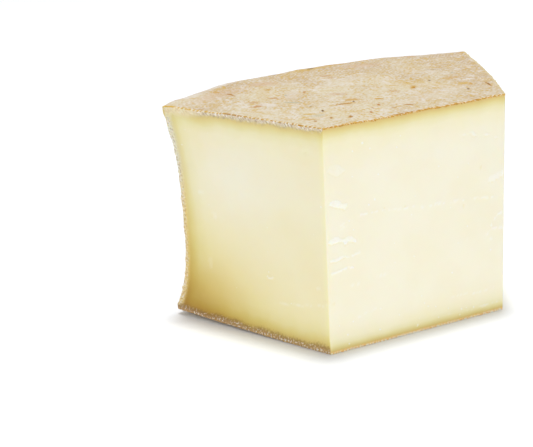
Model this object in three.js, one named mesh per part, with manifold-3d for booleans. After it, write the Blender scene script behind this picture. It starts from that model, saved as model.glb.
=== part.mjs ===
// A piece of a large mountain cheese: one eighth of a wheel with its thin tip
// taken off. It stands on the wheel's flat side, with the rind above, below and
// round the hollow heel behind, and three cut faces in front and at the sides.
// Millimetres, +Z up. The origin lies under the middle of the piece, -Y is the
// tip cut and +Y the heel.

import * as THREE from "three";
import { mergeVertices } from "three/addons/utils/BufferGeometryUtils.js";
import Module from "manifold-3d";

const wasm = await Module();
wasm.setup();

// Driving sizes
const wheelRadius = 260;
const wheelHeight = 130;
const halfAngle = THREE.MathUtils.degToRad(23.6); // of the sector, each side of its middle
const tipCutDistance = 134.4; // from the wheel's axis to the cut that took the tip off
const farCutBow = 2.5; // the far knife cut is this far from straight at its middle
// nor is it upright at the tip, though it is from this share of its length on
const farCutLean = { inAtFoot: 0.35, outAtTop: 0.75, power: 1.5, uprightFrom: 0.3 };

// The heel is hollow where the hoop pressed it
const heelDepth = 9.5;
const heelDeepestAt = 52; // height of its deepest line
const upperLipAt = 125; // height where the upper lip stands out furthest
const lowerLipAt = 4;
const upperSweep = 2.7; // how squarely the hollow runs out above, as a power
const lowerSweep = 2.6;
const rimRound = 1.6; // radius of the lips' edges
const rimReach = 24; // the hollow and the heel's waves fade out this far inside the rim

// The rind isn't flat
const rimSwell = 0.5; // the top rises this much to the middle of the rim, not to its corners
const topDip = { radius: 236, depth: 0.9, reach: 24 }; // beside the near radial cut
const rimHump = { radius: 258, turn: -13, height: 0.8, reach: 22 }; // turn in degrees, near side
const waves = [
  // height, wave lengths across and along, and where each starts
  { height: 0.35, across: 88, along: 118, startAcross: 2.5, startAlong: 5.2 },
  { height: 0.22, across: 52, along: 61, startAcross: 1.2, startAlong: 1 },
  { height: 0.12, across: 23, along: 19, startAcross: 3.3, startAlong: 3.4 },
];

// The underside lies flat but for the last stretch before the rim, and the near
// corner, which lifts off the board
const footFlat = 0.88; // share of the radius
const footLift = 0.8;
const cornerLift = { height: 1.8, fromRadius: 161, toRadius: 250, fromTurn: 4 };

// Flakes torn out by the knife, on the tip cut. "across" runs from the near
// edge of the face to the far one, "up" from the board.
const tornFlakes = [
  { across: 7.7, up: 105.1, width: 12.4, height: 6.6, depth: 1.1, tilt: -8 },
  { across: 7.5, up: 86, width: 12.4, height: 4.6, depth: 1.2, tilt: -8 },
  { across: 4.9, up: 66.2, width: 9.4, height: 4.6, depth: 1.1, tilt: -10 },
  { across: 14, up: 65, width: 9.8, height: 4.4, depth: 1.1, tilt: 4 },
  { across: 6.8, up: 55.6, width: 11.8, height: 3.2, depth: 0.9, tilt: 2 },
  { across: 8.6, up: 48.1, width: 15, height: 1.8, depth: 0.6, tilt: 2 },
  { across: 111.2, up: 83.1, width: 11.2, height: 2.6, depth: 0.6, tilt: 25 },
  { across: 112.4, up: 57.8, width: 9, height: 2.4, depth: 0.6, tilt: 37 },
  { across: 99.7, up: 109, width: 8, height: 1.8, depth: 0.5, tilt: -14 },
];

// How finely the turned wheel and the knife's bow are divided
const turns = 288;
const ringStep = 7;
const heelSteps = 20;
const lipSteps = 3;
const bowSteps = 12;
const leanSteps = 8;
const flakeSides = { round: 20, over: 12 };

// Small humps and hollows of the rind, from two crossed waves each
function rindWave(x, y) {
  let rise = 0;
  for (const wave of waves) {
    const a = Math.sin((2 * Math.PI * x) / wave.across + wave.startAcross);
    const b = Math.sin((2 * Math.PI * y) / wave.along + wave.startAlong);
    rise += wave.height * a * b;
  }
  return rise;
}

// How far the heel lies inside the wheel's radius, at a height
function heelInset(z) {
  const above = z > heelDeepestAt;
  const reach = above ? upperLipAt - heelDeepestAt : heelDeepestAt - lowerLipAt;
  const share = Math.min(1, Math.abs(z - heelDeepestAt) / reach);
  return heelDepth * (1 - Math.pow(share, above ? upperSweep : lowerSweep));
}

// A hump's or dip's share of its full size at a place, one at its middle
function nearness(x, y, radius, turn, reach) {
  const dx = x - radius * Math.sin(turn);
  const dy = y - radius * Math.cos(turn);
  return Math.exp(-(dx * dx + dy * dy) / (reach * reach));
}

// The top's height at a place given from the wheel's axis
function topHeight(x, y) {
  const radius = Math.hypot(x, y);
  const turn = Math.min(1, Math.abs(Math.atan2(x, y)) / halfAngle);
  const outward = THREE.MathUtils.smoothstep(radius, tipCutDistance, wheelRadius);
  const swell = rimSwell * Math.cos((turn * Math.PI) / 2);
  const dip = topDip.depth * nearness(x, y, topDip.radius, -halfAngle, topDip.reach);
  const humpTurn = THREE.MathUtils.degToRad(rimHump.turn);
  const hump = rimHump.height * nearness(x, y, rimHump.radius, humpTurn, rimHump.reach);
  return wheelHeight + outward * swell - dip + hump + rindWave(x, y);
}

function footHeight(x, y) {
  const radius = Math.hypot(x, y);
  const nearSide = radius > 0 ? -x / radius : 0; // the sine of the turn to the near cut
  const fromTurn = Math.sin(THREE.MathUtils.degToRad(cornerLift.fromTurn));
  const nearCut = THREE.MathUtils.smoothstep(nearSide, fromTurn, Math.sin(halfAngle));
  const out = THREE.MathUtils.smoothstep(radius, cornerLift.fromRadius, cornerLift.toRadius);
  const rim = THREE.MathUtils.smoothstep(radius, footFlat * wheelRadius, wheelRadius);
  return footLift * rim + cornerLift.height * out * nearCut;
}

// Half the wheel's section, from the axis at the bottom, round the heel and
// back to the axis at the top
function wheelSection() {
  const points = [new THREE.Vector2(0, 0)];
  const flatRadius = wheelRadius - rimRound;
  for (let r = tipCutDistance - ringStep; r < flatRadius; r += 2 * ringStep) {
    points.push(new THREE.Vector2(r, 0));
  }
  for (let i = 0; i <= lipSteps; i++) {
    const a = (i / lipSteps) * (Math.PI / 2);
    const r = flatRadius + rimRound * Math.sin(a);
    points.push(new THREE.Vector2(r, rimRound * (1 - Math.cos(a))));
  }
  const straight = wheelHeight - 2 * rimRound;
  for (let i = 1; i < heelSteps; i++) {
    points.push(new THREE.Vector2(wheelRadius, rimRound + (i / heelSteps) * straight));
  }
  for (let i = lipSteps; i >= 0; i--) {
    const a = (i / lipSteps) * (Math.PI / 2);
    const r = flatRadius + rimRound * Math.sin(a);
    points.push(new THREE.Vector2(r, wheelHeight - rimRound * (1 - Math.cos(a))));
  }
  for (let r = flatRadius - ringStep; r > tipCutDistance - 2 * ringStep; r -= ringStep) {
    points.push(new THREE.Vector2(r, wheelHeight));
  }
  points.push(new THREE.Vector2(0, wheelHeight));
  return points;
}

// The whole wheel, turned and then given its hollow heel and uneven rind
function wholeWheel() {
  const geometry = new THREE.LatheGeometry(wheelSection(), turns);
  geometry.rotateX(Math.PI / 2);
  const place = geometry.getAttribute("position");
  const half = wheelHeight / 2;
  for (let i = 0; i < place.count; i++) {
    const x = place.getX(i);
    const y = place.getY(i);
    const z = place.getZ(i);
    const radius = Math.hypot(x, y);
    const upness = THREE.MathUtils.smoothstep(z, half, wheelHeight);
    const downness = 1 - THREE.MathUtils.smoothstep(z, 0, half);
    const rimness = THREE.MathUtils.smoothstep(radius, wheelRadius - rimReach, wheelRadius);
    const bulge = rimness * (rindWave(x, z) - heelInset(z));
    const shrink = radius > 0 ? (radius + bulge) / radius : 1;
    const rise = upness * (topHeight(x, y) - wheelHeight) + downness * footHeight(x, y);
    place.setXYZ(i, x * shrink, y * shrink, z + rise);
  }
  return solidFrom(geometry);
}

// The sector's outline from above, as the knives leave it
function knifeOutline() {
  const reach = wheelRadius + rimReach; // well past the rim
  const side = new THREE.Vector2(Math.sin(halfAngle), Math.cos(halfAngle));
  const tipSide = tipCutDistance / Math.cos(halfAngle);
  const outline = new THREE.Shape();
  outline.moveTo(-tipSide * side.x, tipSide * side.y);
  for (let i = 0; i <= bowSteps; i++) {
    const share = i / bowSteps;
    const r = THREE.MathUtils.lerp(tipSide, wheelRadius, share);
    const bow = farCutBow * Math.sin(share * Math.PI);
    outline.lineTo(r * side.x + bow * side.y, r * side.y - bow * side.x);
  }
  outline.lineTo(reach * side.x, reach * side.y);
  outline.lineTo(-reach * side.x, reach * side.y);
  outline.closePath();
  return outline;
}

// How far the far cut lies outside its line, at a place
function leanOutward(x, y, z) {
  const share = THREE.MathUtils.clamp(z / wheelHeight, 0, 1);
  const rise = Math.pow(share, farCutLean.power);
  const lean = THREE.MathUtils.lerp(-farCutLean.inAtFoot, farCutLean.outAtTop, rise);
  const tipSide = tipCutDistance / Math.cos(halfAngle);
  const along = (Math.hypot(x, y) - tipSide) / (wheelRadius - tipSide);
  return lean * (1 - THREE.MathUtils.smoothstep(along, 0, farCutLean.uprightFrom));
}

function knifeCuts() {
  const clearance = 20; // above and below the wheel
  const geometry = new THREE.ExtrudeGeometry(knifeOutline(), {
    depth: wheelHeight + 2 * clearance,
    steps: leanSteps,
    bevelEnabled: false,
  });
  geometry.translate(0, 0, -clearance);
  const place = geometry.getAttribute("position");
  for (let i = 0; i < place.count; i++) {
    if (place.getX(i) < 0) continue;
    const lean = leanOutward(place.getX(i), place.getY(i), place.getZ(i));
    place.setX(i, place.getX(i) + lean / Math.cos(halfAngle));
  }
  return solidFrom(geometry);
}

// The hollow that one torn flake leaves in the tip cut
function flakeHollow(flake) {
  const geometry = new THREE.SphereGeometry(1, flakeSides.round, flakeSides.over);
  geometry.scale(flake.width / 2, flake.depth, flake.height / 2);
  geometry.rotateY(THREE.MathUtils.degToRad(-flake.tilt));
  const nearEdge = -tipCutDistance * Math.tan(halfAngle);
  geometry.translate(nearEdge + flake.across, tipCutDistance, flake.up);
  return solidFrom(geometry);
}

function solidFrom(geometry) {
  geometry.deleteAttribute("normal");
  geometry.deleteAttribute("uv");
  const merged = mergeVertices(geometry, 1e-4);
  return new wasm.Manifold(
    new wasm.Mesh({
      numProp: 3,
      vertProperties: merged.getAttribute("position").array,
      triVerts: new Uint32Array(merged.getIndex().array),
    }),
  );
}

function geometryFrom(solid) {
  const mesh = solid.getMesh();
  const geometry = new THREE.BufferGeometry();
  geometry.setAttribute("position", new THREE.BufferAttribute(mesh.vertProperties, 3));
  geometry.setIndex(new THREE.BufferAttribute(mesh.triVerts, 1));
  geometry.computeVertexNormals();
  return geometry;
}

function cheesePiece() {
  let piece = wholeWheel().intersect(knifeCuts());
  for (const flake of tornFlakes) piece = piece.subtract(flakeHollow(flake));
  const material = new THREE.MeshStandardMaterial({
    color: new THREE.Color(0.93, 0.88, 0.68),
    roughness: 0.55,
    metalness: 0,
  });
  const mesh = new THREE.Mesh(geometryFrom(piece), material);
  mesh.name = "cheese_piece";
  mesh.position.y = -(tipCutDistance + wheelRadius) / 2;
  return mesh;
}

const group = new THREE.Group();
group.add(cheesePiece());

export default group;
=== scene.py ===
import math
import bmesh
import bpy
from mathutils import Matrix, Vector, noise


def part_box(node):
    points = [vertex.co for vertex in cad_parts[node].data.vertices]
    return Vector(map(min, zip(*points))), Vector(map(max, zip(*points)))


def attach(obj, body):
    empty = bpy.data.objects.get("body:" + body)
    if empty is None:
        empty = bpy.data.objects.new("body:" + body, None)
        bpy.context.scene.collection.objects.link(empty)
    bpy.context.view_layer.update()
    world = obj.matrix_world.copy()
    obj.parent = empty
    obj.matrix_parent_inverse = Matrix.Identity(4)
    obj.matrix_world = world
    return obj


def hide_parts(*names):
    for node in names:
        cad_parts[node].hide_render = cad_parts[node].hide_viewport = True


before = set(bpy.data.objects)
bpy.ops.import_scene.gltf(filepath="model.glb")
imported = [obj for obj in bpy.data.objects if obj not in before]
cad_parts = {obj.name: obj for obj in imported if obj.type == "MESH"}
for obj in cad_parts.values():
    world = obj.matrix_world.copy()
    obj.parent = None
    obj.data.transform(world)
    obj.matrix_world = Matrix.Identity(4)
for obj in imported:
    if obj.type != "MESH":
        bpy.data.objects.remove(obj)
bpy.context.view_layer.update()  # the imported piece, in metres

# A piece of mountain cheese, an eighth of a wheel with its tip cut off. One mesh
# stands for the solid, with a finer skin: it is worked out in millimetres from
# the wheel's own axis, and moved to the frame's place at the end.

mm = 0.001
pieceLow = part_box("cheese_piece")[0]


# Shape of the piece

wheel = {
    "radius": 260.0,
    "height": 130.0,
    "halfAngle": math.radians(23.6),  # of the sector, each side of its middle
    "tipCut": 134.4,  # from the wheel's axis to the square cut
    "farCutBow": 2.5,  # the right radial cut is this far from straight
    "farCutIn": 0.35,  # nor is it upright: it leans in at the foot
    "farCutOut": 0.75,  # and out at the top
    "farCutPower": 1.5,
    "uprightFrom": 0.3,  # but is upright from this share of its length on
    "farCutReach": 0.6,  # share of the width from which it bows and leans
}
tipWidth = 2 * wheel["tipCut"] * math.tan(wheel["halfAngle"])
rimWidth = 2 * wheel["radius"] * math.sin(wheel["halfAngle"])
wheelAxis = Vector((0, pieceLow[1] / mm - wheel["tipCut"], 0))

heel = {
    "depth": 9.5,
    "deepestAt": 52.0,
    "upperLip": 125.0,
    "lowerLip": 4.0,
    "upperSweep": 2.7,
    "lowerSweep": 2.6,
    # the lip that the knife pulled out at the near top corner
    "flare": 1.3,
    "flareHeights": (119.0, 131.0),
    "flareReach": 9.0,
    # lumps of the rind beside the left cut: height, reach, how far out
    "lumps": [(115.0, 4.0, 0.8), (73.0, 6.0, 0.4), (57.0, 6.0, 0.4)],
    "lumpsWide": 6.0,
}

topSkin = {
    "rimSwell": 0.5,
    # radius, turn, height and reach of the larger humps and dips
    "humps": [
        (236.0, -wheel["halfAngle"], -0.9, 24.0),
        (258.0, math.radians(-13), 0.8, 22.0),
        (260.0, -wheel["halfAngle"], -1.2, 5.0),
    ],
    # height, lengths across and along, starts across and along
    "waves": [
        (0.35, 88.0, 118.0, 2.5, 5.2),
        (0.22, 52.0, 61.0, 1.2, 1.0),
        (0.12, 23.0, 19.0, 3.3, 3.4),
    ],
}

footSkin = {
    "flatTo": 0.88,  # share of the radius
    "rimLift": 0.8,
    "cornerLift": 1.8,
    "cornerRadii": (161.0, 250.0),
    "cornerTurn": math.radians(4),
}

# how round the edges are between two sides of the piece
edgeRounds = [
    ("heel", "top", 1.6), ("heel", "foot", 1.6), ("left", "tip", 0.9), ("right", "tip", 0.9),
    ("left", "top", 0.35), ("tip", "top", 0.35), ("right", "top", 0.35), ("left", "foot", 0.6),
    ("tip", "foot", 0.15), ("right", "foot", 0.3), ("left", "heel", 0.6), ("right", "heel", 0.6),
]

# size of the lumps and how far they stand out, for each kind of surface
relief = {
    "rindLump": (9.0, 0.2),
    "rindGrain": (3.2, 0.12),
    "heelLump": (5.5, 0.8),
    "heelGrain": (2.4, 0.5),
    "knifeWave": (16.0, 0.07),
    "crumb": (1.6, 0.32),
    "crumbReach": 1.4,  # how far in from a knife's edge the rind crumbles
    "crumbShare": 1.3,  # and on the cut, how many times the width of the cut rind
}

grid = {
    "counts": (120, 84, 92),  # across, along and up
    "crowd": 0.42,  # how much closer the lines lie at the edges
    "sideTolerance": 1e-6,
    "knifeEdgeBand": 3.0,  # mm of rind beside the front cuts with a finer grid
}

# where the grid is doubled: side, range along the side, range up, in mm. The
# second list is doubled once more.
fineZones = [
    ("tip", (0, 21), (43, 112)),
    ("tip", (103, 118), (44, 88)),
    ("tip", (82, 115), (103, 114)),
    ("tip", (18, 116), (68.5, 80)),
    ("tip", (0, 118), (126, 131)),
    ("tip", (0, 118), (0, 4.5)),
    ("left", (0, 114), (124, 131)),
    ("left", (0, 114), (0, 7)),
    ("left", (0, 5.5), (0, 131)),
    ("left", (64, 74), (35, 43)),
]
finestZones = [
    ("tip", (0.3, 14.5), (101, 110)),
    ("tip", (1, 14.5), (81.5, 90)),
    ("tip", (0, 20), (61.5, 69.5)),
    ("tip", (0.5, 18), (46.5, 57.5)),
]

# Marks of the knife, in mm: on the tip cut from its left edge and on the left
# cut from the rim, and up from the foot. A flake is lifted along its lower edge:
# side, lift, whiteness and outline.
knifeFlakes = [
    ("tip", 0.22, 0.3, [(1.4, 105.8), (3.4, 109.2), (8.8, 108.8), (13.6, 104.9), (9.9, 103.2), (7.5, 102.0),
        (4.5, 103.9)]),
    ("tip", 0.36, 0.9, [(2.0, 87.0), (3.2, 89.0), (6.6, 89.4), (9.2, 88.2), (10.3, 86.6), (13.9, 86.2),
        (13.4, 84.2), (12.0, 82.6), (9.4, 83.9), (5.7, 85.2)]),
    ("tip", 0.4, 1.0, [(0.6, 65.8), (2.8, 67.7), (5.4, 68.6), (7.4, 68.2), (9.5, 66.4), (11.5, 66.4),
        (13.2, 67.6), (15.7, 66.9), (18.7, 64.4), (18.5, 62.6), (15.6, 63.4), (13.3, 64.3), (12.1, 62.4),
        (11.0, 62.8), (10.2, 64.4), (7.2, 65.1), (4.9, 64.7), (3.0, 64.2)]),
    ("tip", 0.28, 0.9, [(0.9, 55.7), (5.3, 56.1), (9.2, 56.9), (12.8, 56.0), (9.9, 55.2), (7.2, 54.4),
        (5.7, 53.8), (2.0, 54.4)]),
    ("tip", 0.28, 0.7, [(106.2, 80.6), (106.8, 83.7), (110.9, 84.6), (116.8, 86.0), (117.3, 83.0),
        (112.6, 81.3), (107.6, 79.8)]),
    ("tip", 0.3, 0.6, [(88.2, 111.2), (89.8, 112.3), (91.6, 111.5), (90.2, 110.4)]),
    ("tip", 0.35, 0.7, [(93.0, 112.0), (95.6, 112.6), (97.4, 110.8), (99.0, 109.2), (97.0, 108.9),
        (94.6, 110.4)]),
    ("tip", 0.3, 0.6, [(102.0, 108.9), (105.2, 109.4), (107.6, 108.4), (105.0, 107.5)]),
    ("tip", 0.25, 0.5, [(109.4, 106.9), (111.8, 106.9), (113.8, 105.6), (111.0, 105.0)]),
    ("left", 0.2, 0.45, [(14.9, 80.6), (16.2, 82.0), (18.6, 81.8), (19.6, 80.4), (17.6, 79.4)]),
    ("left", 0.2, 0.4, [(23.0, 68.0), (25.6, 69.6), (29.0, 69.6), (30.6, 67.6), (27.0, 66.6)]),
    ("left", 0.08, 0.2, [(19.0, 38.4), (19.9, 42.2), (22.0, 42.4), (23.3, 38.8), (22.1, 35.2),
        (20.0, 35.4)]),
    ("left", 0.25, 0.5, [(102.6, 37.2), (105.0, 38.6), (108.2, 38.2), (107.4, 36.8), (104.6, 36.2)]),
]
# side, width, lift, whiteness, how broken it is, and path; whiteness below zero is painted shade in a groove
knifeLines = [
    ("tip", 0.9, 0.22, 0.9, 0.0, [(1.6, 47.6), (8.9, 48.5), (12.4, 49.4), (17.0, 48.4)]),
    ("tip", 0.8, 0.15, 0.75, 0.0, [(11.0, 55.4), (16.2, 55.6), (21.0, 56.6)]),
    ("tip", 0.8, 0.3, 0.85, 0.3, [(18.7, 77.4), (27.0, 78.2), (37.0, 77.5), (50.3, 75.9), (58.3, 75.4),
        (64.7, 74.0), (71.2, 74.6), (81.0, 73.7), (98.3, 72.5), (113.5, 70.4)]),
    ("tip", 0.9, 0.3, 0.8, 0.1, [(108.0, 53.0), (110.1, 56.8), (112.7, 59.8), (117.2, 61.2)]),
    ("tip", 0.9, 0.3, 0.75, 0.1, [(104.9, 48.3), (106.7, 51.0), (110.1, 52.0), (117.2, 51.4)]),
    ("tip", 0.7, 0.2, 0.6, 0.3, [(89.9, 49.3), (99.1, 47.2)]),
    ("tip", 0.7, 0.2, 0.6, 0.2, [(106.7, 46.0), (112.4, 45.8)]),
    ("tip", 0.7, 0.1, 0.5, 0.25, [(6.0, 73.4), (14.8, 75.8)]),
    ("tip", 0.7, 0.1, 0.45, 0.25, [(8.2, 71.9), (15.2, 74.3)]),
    ("tip", 0.7, 0.1, 0.6, 0.3, [(9.2, 37.4), (39.3, 40.4)]),
    ("tip", 0.7, 0.1, 0.5, 0.35, [(15.4, 17.9), (37.7, 22.3)]),
    ("tip", 0.8, -0.15, -0.8, 0.0, [(0.0, 31.0), (4.3, 29.9)]),
    ("tip", 0.8, 0.1, 0.7, 0.5, [(77.0, 6.2), (104.0, 5.4), (116.0, 6.6)]),
    ("tip", 0.8, 0.1, 0.6, 0.5, [(80.0, 16.4), (98.0, 15.0), (112.0, 15.6)]),
    ("left", 0.8, -0.15, -0.8, 0.0, [(108.9, 31.9), (113.2, 31.0)]),
    ("left", 0.7, 0.1, 0.4, 0.25, [(71.9, 23.1), (91.6, 25.3), (109.6, 28.9), (113.0, 30.7)]),
    ("left", 0.7, 0.25, 0.9, 0.0, [(66.6, 38.6), (68.0, 37.6), (70.2, 37.8), (71.8, 39.0)]),
    ("left", 0.6, -0.2, -0.5, 0.0, [(67.2, 39.6), (71.0, 39.8)]),
    ("left", 0.6, -0.1, -0.3, 0.0, [(97.3, 121.0), (97.3, 116.5)]),
]
# small pits with painted shade: side, place, half width and half height, depth
knifePits = [
    ("tip", (101.3, 90.3), (0.9, 0.9), 0.5),
    ("tip", (89.6, 69.7), (0.7, 1.1), 0.5),
    ("tip", (37.0, 78.6), (0.7, 0.5), 0.3),
    ("tip", (50.3, 76.9), (0.6, 0.5), 0.3),
    ("left", (100.8, 114.6), (1.3, 0.9), 0.4),
]
knife = {
    "reach": 1.5,  # a flake shows this far outside its outline
    "margin": 2.0,  # round the box of a mark
    "softEdge": (-0.12, 0.3),  # mm inside its outline over which a flake rises
    "crease": (0.15, 0.75),  # how far below a flake the crease under its edge lies
    "softCrease": (-0.1, 0.5),
    "creaseDepth": 0.3,  # share of the flake's lift
    # painted shade in the crease under a flake, as a share of its whiteness
    "creaseShade": 0.5,  # share of its whiteness
    "upperEdge": 0.45,  # share of the lift that is left along the upper edge
    "ruffle": (1.5, 0.75, 0.5),  # size of a flake's unevenness, its middle and range
    "lineEnd": 0.15,  # share of a step over which a line fades out
    "gap": 1.6,  # size of the gaps of a broken line
    "gapEdge": 0.5,  # and how softly they begin
    "shake": 0.3,  # how far the outlines wander
    # painted shade in a pit
    "pitShade": 0.6,
}


def lerp(a, b, share):
    return a + (b - a) * share


def smoothStep(x, low, high):
    t = min(1.0, max(0.0, (x - low) / (high - low)))
    return t * t * (3 - 2 * t)


def fade(x, low, high):
    return 1 - smoothStep(x, low, high)


def noiseOf(x, y, layer):
    # each layer has another pattern
    return noise.noise(Vector((x, y, layer)))


def heelInset(z):
    above = z > heel["deepestAt"]
    reach = heel["upperLip"] - heel["deepestAt"] if above else heel["deepestAt"] - heel["lowerLip"]
    share = min(1.0, abs(z - heel["deepestAt"]) / reach)
    return heel["depth"] * (1 - share ** heel["upperSweep" if above else "lowerSweep"])


def topHeight(x, y):
    radius = math.hypot(x, y)
    turn = min(1.0, abs(math.atan2(x, y)) / wheel["halfAngle"])
    swell = topSkin["rimSwell"] * math.cos(turn * math.pi / 2)
    swell *= smoothStep(radius, wheel["tipCut"], wheel["radius"])
    for middle, turned, height, reach in topSkin["humps"]:
        dx = x - middle * math.sin(turned)
        dy = y - middle * math.cos(turned)
        swell += height * math.exp(-(dx * dx + dy * dy) / reach ** 2)
    rise = 0
    for height, across, along, startAcross, startAlong in topSkin["waves"]:
        sideways = math.sin(math.tau * x / across + startAcross)
        rise += height * sideways * math.sin(math.tau * y / along + startAlong)
    return wheel["height"] + swell + rise


def footHeight(x, y):
    radius = math.hypot(x, y)
    nearness = smoothStep(-x / radius, math.sin(footSkin["cornerTurn"]), math.sin(wheel["halfAngle"]))
    corner = footSkin["cornerLift"] * nearness * smoothStep(radius, *footSkin["cornerRadii"])
    rim = footSkin["rimLift"] * smoothStep(radius, footSkin["flatTo"] * wheel["radius"], wheel["radius"])
    return rim + corner


def roundCorner(first, second, radius):
    # two distances from the sides of a square edge, bent onto a round one
    if first >= radius or second >= radius:
        return first, second
    ring = radius - min(first, second)
    lean = abs(first - second) / ring * math.pi / 4
    angle = math.pi / 4 + (lean if first > second else -lean)
    return radius - ring * math.cos(angle), radius - ring * math.sin(angle)


def sidesOf(share):
    edge = grid["sideTolerance"]
    names = []
    for value, low, high in zip(share, ("left", "tip", "foot"), ("right", "heel", "top")):
        if value < edge:
            names.append(low)
        if value > 1 - edge:
            names.append(high)
    return names


def gapsTo(share):
    # distance in mm from a point of the unit block to each side of the piece
    u, v, w = share
    turn = (2 * u - 1) * wheel["halfAngle"]
    rim = Vector((math.sin(turn), math.cos(turn))) * wheel["radius"]
    length = (rim - Vector(((u - 0.5) * tipWidth, wheel["tipCut"]))).length
    width = lerp(tipWidth, rimWidth, v)
    return {
        "left": u * width,
        "right": (1 - u) * width,
        "tip": v * length,
        "heel": (1 - v) * length,
        "foot": w * wheel["height"],
        "top": (1 - w) * wheel["height"],
    }


def smoothPlace(share):
    # the piece without its fine relief: a point in mm from the wheel's axis
    gaps = gapsTo(share)
    width = gaps["left"] + gaps["right"]
    length = gaps["tip"] + gaps["heel"]
    u, v, w = share
    for first, second, radius in edgeRounds:
        gaps[first], gaps[second] = roundCorner(gaps[first], gaps[second], radius)
    u = gaps["left"] / width if u < 0.5 else 1 - gaps["right"] / width
    v = gaps["tip"] / length if v < 0.5 else 1 - gaps["heel"] / length
    w = gaps["foot"] / wheel["height"] if w < 0.5 else 1 - gaps["top"] / wheel["height"]
    turn = (2 * u - 1) * wheel["halfAngle"]
    up = w * wheel["height"]
    flare = heel["flare"] * math.exp(-(u * width / heel["flareReach"]) ** 2)
    flare *= smoothStep(up, *heel["flareHeights"])
    for high, reach, out in heel["lumps"]:
        flare += out * math.exp(-((up - high) / reach) ** 2 - (u * width / heel["lumpsWide"]) ** 2)
    radius = wheel["radius"] - heelInset(up) + flare
    x = lerp((u - 0.5) * tipWidth, radius * math.sin(turn), v)
    y = lerp(wheel["tipCut"], radius * math.cos(turn), v)
    nearFarCut = smoothStep(u, wheel["farCutReach"], 1)
    bow = wheel["farCutBow"] * math.sin(math.pi * v) * nearFarCut
    lean = lerp(-wheel["farCutIn"], wheel["farCutOut"], max(0.0, w) ** wheel["farCutPower"])
    lean *= nearFarCut * fade(v, 0, wheel["uprightFrom"])
    x += bow * math.cos(wheel["halfAngle"]) + lean / math.cos(wheel["halfAngle"])
    y -= bow * math.sin(wheel["halfAngle"])
    return Vector((x, y, lerp(footHeight(x, y), topHeight(x, y), w)))


def outwardOf(side, place):
    angle = wheel["halfAngle"]
    if side in ("left", "right"):
        return Vector((math.cos(angle) * (-1 if side == "left" else 1), -math.sin(angle), 0))
    if side == "tip":
        return Vector((0, -1, 0))
    if side == "heel":
        return Vector((place.x, place.y, 0)).normalized()
    return Vector((0, 0, 1 if side == "top" else -1))


def bumps(place, *kinds):
    return sum(relief[kind][1] * noise.noise(place / relief[kind][0]) for kind in kinds)


def distanceTo(point, start, end):
    line = end - start
    share = min(1.0, max(0.0, (point - start).dot(line) / line.length_squared))
    return (point - start - line * share).length, share


def insideBy(point, outline):
    # how far a point lies inside an outline, below zero outside
    nearest, inside = math.inf, False
    for i, end in enumerate(outline):
        start = outline[i - 1]
        nearest = min(nearest, distanceTo(point, start, end)[0])
        if (start.y > point.y) != (end.y > point.y):
            crossing = start.x + (end.x - start.x) * (point.y - start.y) / (end.y - start.y)
            inside ^= point.x < crossing
    return nearest if inside else -nearest


def flakeAt(flake, point):
    depth = insideBy(point, flake["points"])
    if depth < -knife["reach"]:
        return 0.0, 0.0
    body = smoothStep(depth, *knife["softEdge"])
    below = insideBy(point + Vector(knife["crease"]), flake["points"])
    crease = smoothStep(below, *knife["softCrease"]) * (1 - body)
    down = 1 - (point.y - flake["low"]) / (flake["high"] - flake["low"])
    size, middle, swing = knife["ruffle"]
    ruffle = middle + swing * noise.noise(Vector((point.x, point.y, 2.5)) / size)
    # the crease below a flake's lower edge gets painted shade: whiteness below zero
    lift = body * lerp(knife["upperEdge"], 1.0, down) * ruffle - knife["creaseDepth"] * crease
    return flake["lift"] * lift, flake["white"] * (body * ruffle - knife["creaseShade"] * crease)


def lineAt(line, point):
    nearest, at = math.inf, 0.0
    for i, end in enumerate(line["points"][1:]):
        away, share = distanceTo(point, line["points"][i], end)
        if away < nearest:
            nearest, at = away, i + share
    across = nearest / line["width"]
    if across > 1:
        return 0.0, 0.0
    ends = smoothStep(at, 0, knife["lineEnd"])
    ends *= smoothStep(len(line["points"]) - 1 - at, 0, knife["lineEnd"])
    grain = noiseOf(point.x / knife["gap"], point.y / knife["gap"], 4.4)
    whole = smoothStep(grain, line["broken"] - knife["gapEdge"], line["broken"])
    strength = (1 - across * across) * ends * whole
    return line["lift"] * strength, line["white"] * strength


def readMarks():
    # each mark with its points as vectors, and the box that it can reach
    flakeKeys = ("side", "lift", "white", "points")
    lineKeys = ("side", "width", "lift", "white", "broken", "points")
    marks = [dict(zip(flakeKeys, row), find=flakeAt) for row in knifeFlakes]
    marks += [dict(zip(lineKeys, row), find=lineAt) for row in knifeLines]
    for mark in marks:
        mark["points"] = [Vector(point) for point in mark["points"]]
        across, up = zip(*mark["points"])
        mark["low"], mark["high"] = min(up), max(up)
        mark["across"] = (min(across) - knife["margin"], max(across) + knife["margin"])
        mark["up"] = (min(up) - knife["margin"], max(up) + knife["margin"])
    return marks


knifeMarks = readMarks()


def knifeMarkAt(side, along, up):
    # relief and whiteness of the marks at a place of a cut face; whiteness below zero is painted shade
    lift, torn = 0.0, 0.0
    shaky = Vector((along, up)) + Vector((noiseOf(along, up, 0), noiseOf(along, up, 9))) * knife["shake"]
    for mark in knifeMarks:
        left, right = mark["across"]
        low, high = mark["up"]
        if mark["side"] == side and left < along < right and low < up < high:
            rise, white = mark["find"](mark, shaky)
            lift += rise
            torn += white
    for where, centre, (wide, high), deep in knifePits:
        if where == side:
            bowl = 1 - ((along - centre[0]) / wide) ** 2 - ((up - centre[1]) / high) ** 2
            lift -= deep * math.sqrt(max(0.0, bowl))
            # painted shade in the pit
            torn -= knife["pitShade"] * max(0.0, bowl)
    return lift, torn


def gridShares(count):
    crowd = grid["crowd"] / math.tau
    return [i / count - crowd * math.sin(math.tau * i / count) for i in range(count + 1)]


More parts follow.
